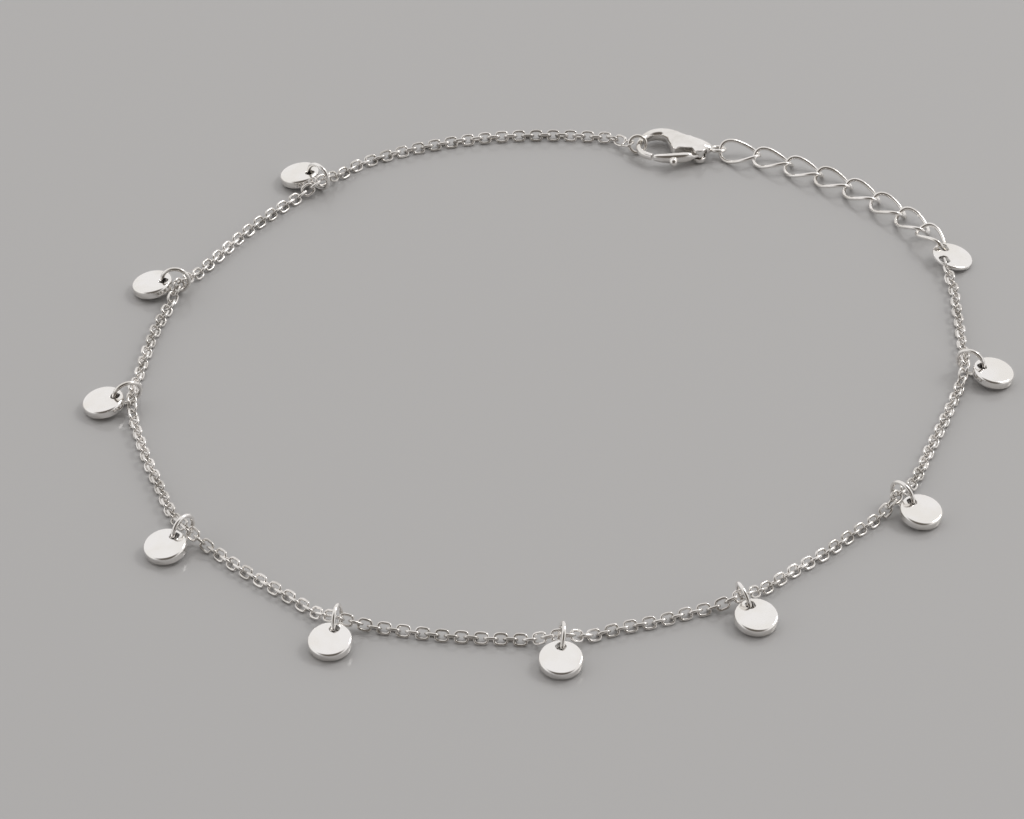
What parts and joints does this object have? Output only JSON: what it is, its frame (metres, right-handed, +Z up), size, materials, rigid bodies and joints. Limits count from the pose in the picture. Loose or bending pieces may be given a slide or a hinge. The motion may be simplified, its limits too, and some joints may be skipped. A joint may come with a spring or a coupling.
{
  "type": "charm anklet",
  "caption": "Silver charm anklet: fine cable chain with plain round disc charms on jump rings, lobster clasp and a larger-link extender with a tag disc.",
  "frame": {"origin": "centre of the footprint on the ground that the anklet lies on", "axes": "+Z up; +X along the loop's longest extent, towards the side where the tag disc lies; +Y from the loop's middle towards the clasp"},
  "size_m": [0.0956, 0.093, 0.0033],
  "materials": {
    "chain_silver": "polished silver",
    "disc_silver": "mirror-polished silver",
    "polished_silver": "polished silver"
  },
  "bodies": {
    "anklet": {"chain_end_link_1": "chain_silver", "chain_end_link_2": "chain_silver", "charm_disc_1": "disc_silver", "charm_disc_2": "disc_silver", "charm_disc_3": "disc_silver", "charm_disc_4": "disc_silver", "charm_disc_5": "disc_silver", "charm_disc_6": "disc_silver", "charm_disc_7": "disc_silver", "charm_disc_8": "disc_silver", "charm_disc_9": "disc_silver", "charm_ring_1": "polished_silver", "charm_ring_2": "polished_silver", "charm_ring_3": "polished_silver", "charm_ring_4": "polished_silver", "charm_ring_5": "polished_silver", "charm_ring_6": "polished_silver", "charm_ring_7": "polished_silver", "charm_ring_8": "polished_silver", "charm_ring_9": "polished_silver", "clasp_body": "polished_silver", "end_ring": "polished_silver", "extender_link_1": "polished_silver", "extender_link_2": "polished_silver", "extender_link_3": "polished_silver", "extender_link_4": "polished_silver", "extender_link_5": "polished_silver", "extender_link_6": "polished_silver", "extender_link_7": "polished_silver", "extender_link_8": "polished_silver", "fine_chain": "chain_silver", "tag_disc": "disc_silver"},
    "lever": {"clasp_lever": "polished_silver"}
  },
  "joints": [
    {"name": "clasp_lever_hinge", "type": "hinge", "parent": "anklet", "child": "lever", "pos_m": [0.01661, 0.04171, 0.00103], "axis": [0, 0, 1], "range_deg": [-14, 0], "stiffness_Nm_per_rad": 0.00003, "springref_deg": 11.46}
  ]
}
